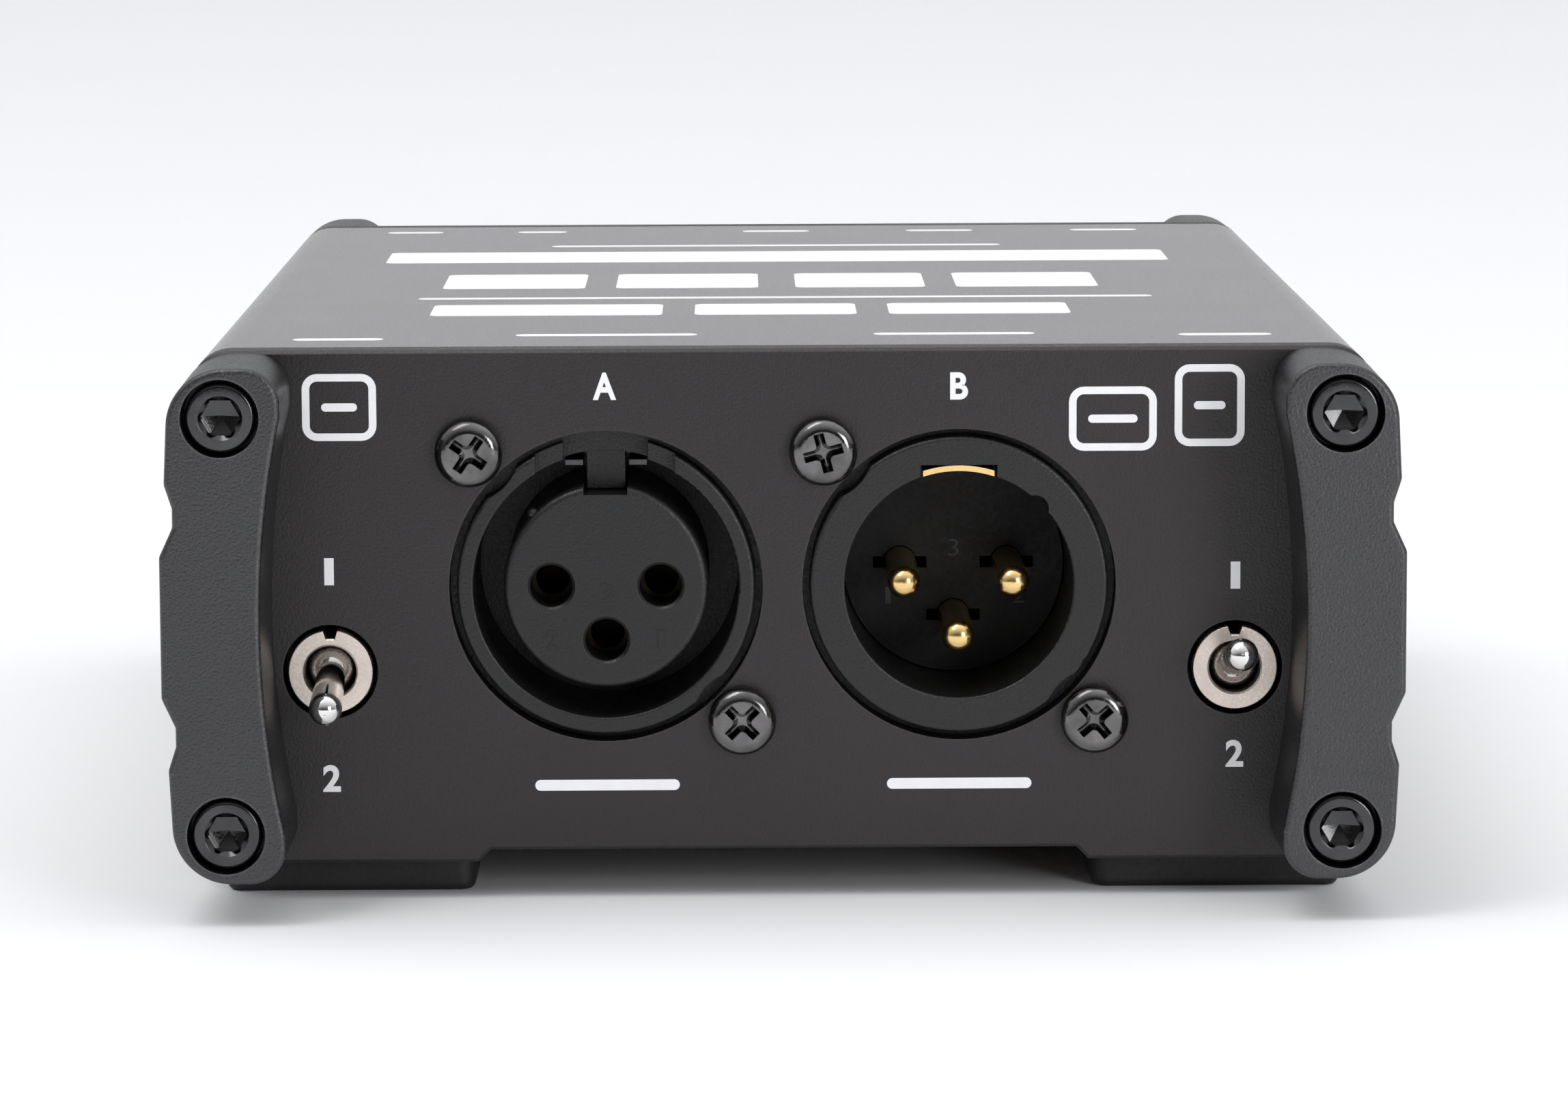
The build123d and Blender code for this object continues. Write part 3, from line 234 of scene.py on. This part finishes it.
gold = Finish("contact_gold", (0.88, 0.62, 0.27), 0.2, 1.0)
gold.cloudy(0.5, 0.06).grain(5.0, 0.003, rough=0.05)
tin = Finish("contact_tin", TIN_COLOUR, 0.34, 1.0).soft_edges(0.05)
tin.cloudy(0.5, 0.1).grain(4.0, 0.006, rough=0.08)
red = Finish("insulator_red", (0.5, 0.02, 0.02), 0.32).cloudy(0.2, 0.05).grain(3.0, 0.004, rough=0.05)
white = Finish("insulator_white", (0.78, 0.78, 0.76), 0.34).cloudy(0.2, 0.04).grain(3.0, 0.004, rough=0.05)
bobbin = Finish("bobbin_plastic", (0.03, 0.03, 0.03), 0.45).cloudy(0.2, 0.1).grain(3.0, 0.01, rough=0.05)
ink = Finish("white_ink", (0.95, 0.95, 0.96), 0.5).cloudy(0.6, 0.03).grain(8.0, 0.003, rough=0.06)

core = Finish("core_steel", (0.30, 0.30, 0.31), 0.42, 1.0)
core.cloudy(0.3, 0.15).grain(1.0, 0.05, (0.02, 2.8, 0.02), rough=0.1)
core.colour = core.mix(core.spread(core.noise(0.15), 0.0, 0.5, 0.45, 0.7), core.colour, (0.16, 0.08, 0.04))
tape = Finish("winding_tape", (0.70, 0.42, 0.05), 0.24)
tape.cloudy(0.15, 0.12).grain(0.8, 0.06, (0.05, 0.05, 1.6), rough=0.05)

laminate = Finish("board_laminate", (0.01, 0.115, 0.045), 0.28).soft_edges(0.05)
laminate.cloudy(0.2, 0.12).grain(1.6, 0.008, rough=0.05)
weave = laminate.math("PINGPONG", axis_position(laminate, 0), 6.0)
run = laminate.math("PINGPONG", axis_position(laminate, 1), 4.0)
tracks = laminate.math("LESS_THAN", laminate.math("ABSOLUTE", laminate.math("SUBTRACT", weave, run)), 0.35)
laminate.colour = laminate.mix(tracks, laminate.colour, (0.02, 0.21, 0.08))
laminate.bump(tracks, 0.03)


def leaded(name, colour, roughness, inside):
    """A painted body with tinned leads: inside tells which points are body."""
    finish = Finish(name, colour, roughness).cloudy(0.4, 0.08).grain(3.0, 0.006, rough=0.05)
    body = inside(finish)
    finish.colour = finish.mix(body, TIN_COLOUR, finish.colour)
    finish.links.new(finish.math("SUBTRACT", 1.0, body), finish.bsdf.inputs["Metallic"])
    return finish


RESISTOR_HALF_BODY = 3.16
BAND_HALF_WIDTH = 0.28
# Place along the body from its middle, and colour.
RESISTOR_BANDS = (
    (-2.3, (0.5, 0.05, 0.02)),
    (-1.2, (0.01, 0.01, 0.01)),
    (-0.1, (0.75, 0.35, 0.02)),
    (2.1, (0.3, 0.12, 0.04)),
)
resistor_low, resistor_high = corners("resistors")
resistor_y = (resistor_low[1] + resistor_high[1]) / 2
board_top = corners("main_board")[1][2]


def resistor_inside(finish):
    away = finish.math("ABSOLUTE", finish.math("SUBTRACT", axis_position(finish, 1), resistor_y))
    return finish.math("LESS_THAN", away, RESISTOR_HALF_BODY)


def above_board(finish):
    return finish.math("GREATER_THAN", axis_position(finish, 2), board_top)


resistor = leaded("resistor_body", (0.12, 0.34, 0.55), 0.3, resistor_inside)
for offset, band in RESISTOR_BANDS:
    from_band = resistor.math("SUBTRACT", axis_position(resistor, 1), resistor_y + offset)
    gap = resistor.math("ABSOLUTE", from_band)
    resistor.colour = resistor.mix(resistor.math("LESS_THAN", gap, BAND_HALF_WIDTH), resistor.colour, band)
capacitor = leaded("capacitor_body", (0.42, 0.045, 0.02), 0.26, above_board)

jack_plastic = Finish("jack_plastic", (0.012, 0.012, 0.013), 0.36).soft_edges(0.06)
jack_plastic.cloudy(0.15, 0.1).grain(4.0, 0.006, rough=0.06)
threads(jack_plastic, 0.9, corners("rear_panel")[1][1] + 0.3, 0.25)

# Inside the male socket the plastic is a darker copy of the insert plastic with weaker reflection: painted
# shade where little light reaches in. It is also rougher, so matt.
shaded_socket_plastic = Finish("socket_plastic_painted_shade", (0.004, 0.004, 0.0045), 0.55).soft_edges(0.06)
shaded_socket_plastic.bsdf.inputs["Specular IOR Level"].default_value = 0.3
shaded_socket_plastic.cloudy(0.15, 0.1).grain(4.0, 0.01, rough=0.08)

# The contacts inside the female socket are very dark: painted shade, so that the contact holes look black.
shaded_contact = Finish("contact_painted_shade", (0.035, 0.028, 0.02), 0.5, 1.0)
shaded_contact.cloudy(0.5, 0.2).grain(4.0, 0.006, rough=0.08)

FINISHES = {
    "black_aluminium": black,
    "bumper_aluminium": bumper,
    "black_steel": steel,
    "black_nickel": black_nickel,
    "nickel": nickel,
    "chrome_lever": chrome,
    "foot_rubber": rubber,
    "connector_plastic": connector,
    "insert_plastic": insert,
    "contact_gold": gold,
    "contact_tin": tin,
    "insulator_red": red,
    "insulator_white": white,
    "board_laminate": laminate,
    "core_steel": core,
    "bobbin_plastic": bobbin,
    "winding_tape": tape,
    "resistor_body": resistor,
    "capacitor_body": capacitor,
}
MATERIALS = {name: finish.done() for name, finish in FINISHES.items()}
MATERIALS["ink"] = ink.done()
SPECIAL = {
    "sleeve": black_sleeve.done(),
    "xlr_in_insert": MATERIALS["connector_plastic"],
    # The female socket's contacts take the painted-shade contact colour.
    "xlr_in_contacts": shaded_contact.done(),
    # The male socket's floor takes the painted-shade copy of the insert plastic.
    "xlr_out_insert": shaded_socket_plastic.done(),
    "input_jack_body": jack_plastic.done(),
    "thru_jack_body": jack_plastic.mat,
    "mini_jack_body": jack_plastic.mat,
}
for row in frame["record"]["subparts"]:
    chosen = SPECIAL.get(row["node"], MATERIALS[row["material_slot"]])
    for material_slot in parts[row["node"]].material_slots:
        material_slot.material = chosen


# ---------------------------------------------------------------- making pieces
def piece_from(bm, name, material, body="chassis", sharp=35.0):
    """Turns a bmesh in millimetres into a piece that rides on a body."""
    bmesh.ops.recalc_face_normals(bm, faces=bm.faces)
    bmesh.ops.scale(bm, vec=(MM, MM, MM), verts=bm.verts)
    mesh = bpy.data.meshes.new(name)
    bm.to_mesh(mesh)
    bm.free()
    for polygon in mesh.polygons:
        polygon.use_smooth = True
    mesh.set_sharp_from_angle(angle=math.radians(sharp))
    mesh.materials.append(material)
    piece = bpy.data.objects.new(name, mesh)
    scene.collection.objects.link(piece)
    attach(piece, body)
    return piece


def turned(bm, x, z, rings, segments=96, closed=True):
    """A turned shape round the Y direction. A ring is (y, radius), or (y, function of the angle and y)."""
    loops = []
    for y, radius in rings:
        loop = []
        for i in range(segments):
            angle = 2 * math.pi * i / segments
            r = radius(angle, y) if callable(radius) else radius
            loop.append(bm.verts.new((x + r * math.cos(angle), y, z + r * math.sin(angle))))
        loops.append(loop)
    if closed:
        loops.append(loops[0])
    for first, second in zip(loops, loops[1:]):
        for i in range(segments):
            j = (i + 1) % segments
            bm.faces.new((first[i], first[j], second[j], second[i]))
    if not closed:
        bm.faces.new(loops[0])
        bm.faces.new(list(reversed(loops[-1])))


def thread_radius(outer, depth, pitch, keyway=None):
    """Radius of a helical thread, with a keyway (width, depth) cut along its top."""
    def radius(angle, y):
        turn = (y / pitch - angle / (2 * math.pi)) % 1.0
        r = outer - depth * abs(2 * turn - 1)
        if keyway:
            away = angle - math.pi / 2
            if abs(math.sin(away)) * outer < keyway[0] / 2 and math.cos(away) > 0:
                r = min(r, (outer - keyway[1]) / math.cos(away))
        return r
    return radius


def steps(start, stop, size):
    count = max(2, int(abs(stop - start) / size))
    return [start + (stop - start) * i / count for i in range(count + 1)]


# ---------------------------------------------------------------- toggle bushings
BUSHING_BORE = 1.9
BUSHING_KEYWAY = (1.0, 0.75)
BUSHING_CHAMFER = 0.12
BUSHING_THREAD_DEPTH = 0.28
BUSHING_THREAD_PITCH = 0.635
for name in ("select_switch", "lift_switch", "pad_switch"):
    node = f"{name}_bushing"
    low, high = corners(node)
    outer = (high[0] - low[0]) / 2
    x = (low[0] + high[0]) / 2
    z = low[2] + outer
    front = low[1] if low[1] < 0 else high[1]
    back = high[1] if low[1] < 0 else low[1]
    inward = 1 if back > front else -1
    thread = thread_radius(outer, BUSHING_THREAD_DEPTH, BUSHING_THREAD_PITCH, BUSHING_KEYWAY)
    smooth = thread_radius(outer - BUSHING_CHAMFER, 0.0, 1.0, BUSHING_KEYWAY)
    chamfered = front + inward * BUSHING_CHAMFER
    rings = [(front, BUSHING_BORE + BUSHING_CHAMFER), (front, smooth), (chamfered, thread)]
    rings += [(y, thread) for y in steps(front + inward * 0.2, back, 0.09)]
    rings += [(back, BUSHING_BORE), (chamfered, BUSHING_BORE)]
    bm = bmesh.new()
    turned(bm, x, z, rings, segments=144)
    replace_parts(piece_from(bm, f"{name}_threaded_bushing", MATERIALS["nickel"]), node)

# ---------------------------------------------------------------- socket head screws
HEAD_RADIUS = 2.55
HEAD_HEIGHT = 3.0
SHANK_RADIUS = 1.5
HEX_ACROSS = 2.5
HEX_DEPTH = 1.6
SCREW_THREAD_DEPTH = 0.22
SCREW_THREAD_PITCH = 0.5
SCREW_TIP_CHAMFER = 0.4
HEAD_EDGE_RADIUS = 0.35
KNURL_DEPTH = 0.09
KNURL_WAVES = 24


def hexagon(angle, y):
    return HEX_ACROSS / 2 / math.cos((angle % (math.pi / 3)) - math.pi / 6)


def knurl(angle, y):
    return HEAD_RADIUS - KNURL_DEPTH * abs(math.sin(angle * KNURL_WAVES))


for name in ("bumper_screws_front", "bumper_screws_rear"):
    low, high = corners(name)
    outward = -1 if low[1] < 0 else 1
    face = low[1] if outward < 0 else high[1]
    tip = high[1] if outward < 0 else low[1]
    seat = face - outward * HEAD_HEIGHT
    bm = bmesh.new()
    for x in (low[0] + HEAD_RADIUS, high[0] - HEAD_RADIUS):
        for z in (low[2] + HEAD_RADIUS, high[2] - HEAD_RADIUS):
            shank = thread_radius(SHANK_RADIUS, SCREW_THREAD_DEPTH, SCREW_THREAD_PITCH)
            rings = [(tip, SHANK_RADIUS - SCREW_TIP_CHAMFER)]
            rings += [(y, shank) for y in steps(tip + outward * 0.3, seat, 0.125)]
            rings += [(seat, SHANK_RADIUS), (seat, HEAD_RADIUS - 0.15), (seat + outward * 0.15, knurl)]
            rings += [(face - outward * 0.55, knurl), (face - outward * 0.45, HEAD_RADIUS - 0.02)]
            for turn in range(0, 91, 15):
                swing = math.radians(turn)
                y = face - outward * HEAD_EDGE_RADIUS * (1 - math.sin(swing))
                rings.append((y, HEAD_RADIUS - 0.37 + HEAD_EDGE_RADIUS * math.cos(swing)))
            rings += [(face, 1.62), (face - outward * 0.08, 1.52), (face - outward * 0.3, hexagon)]
            rings += [(face - outward * HEX_DEPTH, hexagon), (face - outward * (HEX_DEPTH + 0.4), 0.02)]
            turned(bm, x, z, rings, closed=False)
    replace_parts(piece_from(bm, f"{name}_detailed", MATERIALS["black_steel"]), name)

# ---------------------------------------------------------------- printed marks
INK = 0.02  # thickness
front_face = corners("front_panel")[0][1]
top_face = corners("sleeve")[1][2]


def letter(text, x_low, x_high, z_middle, height, weight=0.032, face=front_face, thick=INK, material="ink"):
    """A letter or number on a face that looks to the front, fitted to its width and height."""
    curve = bpy.data.curves.new("word", "FONT")
    curve.body = text
    curve.offset = weight
    curve.extrude = 0.5
    source = bpy.data.objects.new("word", curve)
    scene.collection.objects.link(source)
    depsgraph = bpy.context.evaluated_depsgraph_get()
    mesh = bpy.data.meshes.new_from_object(source.evaluated_get(depsgraph))
    bpy.data.objects.remove(source)
    xs = [vertex.co.x for vertex in mesh.vertices]
    ys = [vertex.co.y for vertex in mesh.vertices]
    bm = bmesh.new()
    bm.from_mesh(mesh)
    bpy.data.meshes.remove(mesh)
    for vertex in bm.verts:
        across = (vertex.co.x - min(xs)) / (max(xs) - min(xs))
        up = (vertex.co.y - min(ys)) / (max(ys) - min(ys)) - 0.5
        depth = face - thick / 2 - vertex.co.z * thick
        vertex.co = Vector((x_low + across * (x_high - x_low), depth, z_middle + up * height))
    return piece_from(bm, "legend", MATERIALS[material])


# A letter over each socket and a number by each switch position stand where the panel is lettered.
LEGEND_HEIGHT = 2.0
LEGENDS = (
    ("input", "A", -13.75, -12.05, 37.8),
    ("output", "B", 12.25, 13.55, 37.7),
    ("select_up", "1", -33.45, -32.75, 24.3),
    ("select_down", "2", -33.75, -32.45, 9.0),
    ("lift_up", "1", 32.75, 33.45, 23.7),
    ("lift_down", "2", 32.45, 33.75, 10.5),
)
for place, text, x_low, x_high, z in LEGENDS:
    letter(text, x_low, x_high, z, LEGEND_HEIGHT).name = f"legend_{place}"

# Small raised numbers beside the contacts, as on any connector of this kind.
FEMALE_MARKS = (("2", -16.9, 19.2), ("3", -12.9, 22.6), ("1", -8.9, 19.2))
MALE_MARKS = (("1", 8.0, 20.6), ("3", 12.9, 24.2), ("2", 17.8, 20.6))
MARK_HEIGHT = 1.3
MARK_THICKNESS = 0.06
for marks, side in ((FEMALE_MARKS, "in"), (MALE_MARKS, "out")):
    face = corners(f"xlr_{side}_insert")[0][1]
    for text, x, z in marks:
        half = 0.22 if text == "1" else 0.42
        mark = letter(
            text,
            x - half,
            x + half,
            z,
            MARK_HEIGHT,
            weight=0.0,
            face=face,
            thick=MARK_THICKNESS,
            material="insert_plastic",
        )
        mark.name = f"xlr_{side}_number_{text}"


def rounded(x_low, x_high, v_low, v_high, radius):
    """Outline of a rounded rectangle."""
    points = []
    for cx, cv, start in (
        (x_high - radius, v_high - radius, 0),
        (x_low + radius, v_high - radius, 90),
        (x_low + radius, v_low + radius, 180),
        (x_high - radius, v_low + radius, 270),
    ):
        for step in range(0, 91, 15):
            angle = math.radians(start + step)
            points.append((cx + radius * math.cos(angle), cv + radius * math.sin(angle)))
    return points


def plate(bm, outline, level, outward, upright, hole=None):
    """A thin plate of ink on a face: upright ones lie on the front panel, the others on the top."""
    sides = []
    for depth in (level, level + outward):
        for ring in (outline, hole):
            if ring:
                sides.append([bm.verts.new((u, depth, v) if upright else (u, v, depth)) for u, v in ring])
    if hole:
        lower, lower_hole, upper, upper_hole = sides
        walls = ((lower, upper), (lower_hole, upper_hole), (lower, lower_hole), (upper, upper_hole))
    else:
        lower, upper = sides
        walls = ((lower, upper),)
        bm.faces.new(lower)
        bm.faces.new(list(reversed(upper)))
    for first, second in walls:
        for i in range(len(first)):
            j = (i + 1) % len(first)
            bm.faces.new((first[i], first[j], second[j], second[i]))


# Plain frames and bars stand where certification marks and small print would be.
FRAMES = ((-34.9, -29.5, 33.9, 38.8), (20.9, 27.3, 32.9, 37.6), (28.6, 33.7, 33.2, 39.2))
FRAME_RADIUS = 1.1
FRAME_LINE = 0.55
DASH_INSET = 1.4
DASH_HALF = 0.3
DASH_RADIUS = 0.29
bm = bmesh.new()
for x_low, x_high, z_low, z_high in FRAMES:
    outer = rounded(x_low, x_high, z_low, z_high, FRAME_RADIUS)
    inner = rounded(
        x_low + FRAME_LINE,
        x_high - FRAME_LINE,
        z_low + FRAME_LINE,
        z_high - FRAME_LINE,
        FRAME_RADIUS - FRAME_LINE,
    )
    plate(bm, outer, front_face, -INK, True, hole=inner)
    z = (z_low + z_high) / 2
    dash = rounded(x_low + DASH_INSET, x_high - DASH_INSET, z - DASH_HALF, z + DASH_HALF, DASH_RADIUS)
    plate(bm, dash, front_face, -INK, True)
for x_low, x_high in ((-18.2, -7.6), (7.6, 18.2)):
    plate(bm, rounded(x_low, x_high, 8.0, 8.8, 0.39), front_face, -INK, True)
piece_from(bm, "front_marks", MATERIALS["ink"])

# The top carries plain bars and a plain band: (x low, x high, depth from the front, length).
TOP_BARS = (
    (-36.1, -29.4, 8.1, 1.6),
    (-19.7, -6.2, 10.6, 1.6),
    (6.9, 18.9, 10.4, 1.6),
    (29.5, 36.4, 8.9, 1.6),
    (-26.9, -9.0, 30.5, 9.0),
    (-6.5, 6.0, 30.5, 9.0),
    (8.5, 22.5, 30.5, 9.0),
    (-28.5, 29.7, 40.5, 1.4),
    (-27.0, -15.5, 55.5, 13.0),
    (-13.0, -1.5, 55.5, 13.0),
    (1.5, 12.0, 55.5, 13.0),
    (14.5, 26.0, 55.5, 13.0),
    (-33.0, 33.4, 78.7, 10.5),
    (-19.4, 19.8, 90.0, 1.5),
    (-2.7, 3.3, 105.5, 1.6),
    (12.0, 18.0, 105.5, 1.6),
    (26.8, 32.8, 105.5, 1.6),
    (-34.6, -29.6, 105.5, 1.6),
    (-22.9, -18.5, 105.5, 1.6),
)
bm = bmesh.new()
for x_low, x_high, depth, length in TOP_BARS:
    y = front_face + depth
    radius = min(0.75, length / 2 - 0.01)
    plate(bm, rounded(x_low, x_high, y - length / 2, y + length / 2, radius), top_face, INK, False)
piece_from(bm, "top_print", MATERIALS["ink"])

# ---------------------------------------------------------------- floor, light and camera
floor_mesh = bpy.data.meshes.new("floor")
bm = bmesh.new()
# Depth and height of the sweep from the floor up to the backdrop, in metres.
FLAT_END = 3.0
SWEEP = 1.5
path = [(-4.0, 0.0), (FLAT_END, 0.0)]
for degrees in range(10, 91, 10):
    bend = math.radians(degrees)
    path.append((FLAT_END + SWEEP * math.sin(bend), SWEEP - SWEEP * math.cos(bend)))
path.append((FLAT_END + SWEEP, 5.0))
rows = [[bm.verts.new((x, y, z)) for x in (-6.0, 6.0)] for y, z in path]
for first, second in zip(rows, rows[1:]):
    bm.faces.new((first[0], first[1], second[1], second[0]))
bm.to_mesh(floor_mesh)
bm.free()
for polygon in floor_mesh.polygons:
    polygon.use_smooth = True
floor_finish = Finish("floor", (0.93, 0.935, 0.95), 0.9).cloudy(0.01, 0.004).grain(0.5, 0.01)
floor_mesh.materials.append(floor_finish.done())
floor = bpy.data.objects.new("floor", floor_mesh)
scene.collection.objects.link(floor)

# The studio is dim in front, bright overhead and behind.
LEVEL, UPWARD, BEHIND = 0.46, 1.0, 0.6
world = bpy.data.worlds.new("studio")
world.use_nodes = True
world_nodes = world.node_tree.nodes
world_links = world.node_tree.links
direction = world_nodes.new("ShaderNodeTexCoord")
split = world_nodes.new("ShaderNodeSeparateXYZ")
world_links.new(direction.outputs["Generated"], split.inputs[0])
brightness = world_nodes.new("ShaderNodeValue").outputs[0]
brightness.default_value = LEVEL
for socket, weight in (("Z", UPWARD), ("Y", BEHIND)):
    slope = world_nodes.new("ShaderNodeMath")
    slope.operation = "MULTIPLY_ADD"
    slope.inputs[1].default_value = weight
    world_links.new(split.outputs[socket], slope.inputs[0])
    world_links.new(brightness, slope.inputs[2])
    brightness = slope.outputs[0]
limit = world_nodes.new("ShaderNodeMath")
limit.operation = "MAXIMUM"
limit.inputs[1].default_value = 0.05
world_links.new(brightness, limit.inputs[0])
world_nodes["Background"].inputs["Color"].default_value = (0.98, 0.985, 1.0, 1.0)
world_links.new(limit.outputs[0], world_nodes["Background"].inputs["Strength"])
scene.world = world
scene.view_settings.view_transform = "Standard"
scene.view_settings.look = "None"


def softbox(name, place, target, size, power):
    light = bpy.data.lights.new(name, "AREA")
    light.shape = "RECTANGLE"
    light.size, light.size_y = size
    light.energy = power
    lamp = bpy.data.objects.new(name, light)
    lamp.location = place
    lamp.rotation_euler = (Vector(target) - Vector(place)).to_track_quat("-Z", "Y").to_euler()
    scene.collection.objects.link(lamp)


softbox("key", (0.45, -0.75, 0.2), (0.04, -0.06, 0.02), (0.25, 0.3), 1.8)
softbox("over", (-0.25, -0.25, 0.7), (0, -0.05, 0.02), (0.2, 0.5), 1.2)

LENS = 137.96
YAW, PITCH, ROLL = -0.0076, 0.1338, -0.0042  # radians
CAMERA_PLACE = (-0.00319, -0.4917, 0.0842)
camera_data = bpy.data.cameras.new("camera")
camera_data.lens = LENS
camera_data.sensor_width = 36.0
camera_data.clip_start = 0.01
camera_data.clip_end = 50.0
camera = bpy.data.objects.new("camera", camera_data)
right = Vector((math.cos(YAW), math.sin(YAW), 0))
forward = Vector((-math.sin(YAW) * math.cos(PITCH), math.cos(YAW) * math.cos(PITCH), -math.sin(PITCH)))
up = right.cross(forward)
x_axis = math.cos(ROLL) * right + math.sin(ROLL) * up
y_axis = -math.sin(ROLL) * right + math.cos(ROLL) * up
turn = Matrix((x_axis, y_axis, -forward)).transposed().to_4x4()
camera.matrix_world = Matrix.Translation(CAMERA_PLACE) @ turn
scene.collection.objects.link(camera)
scene.camera = camera
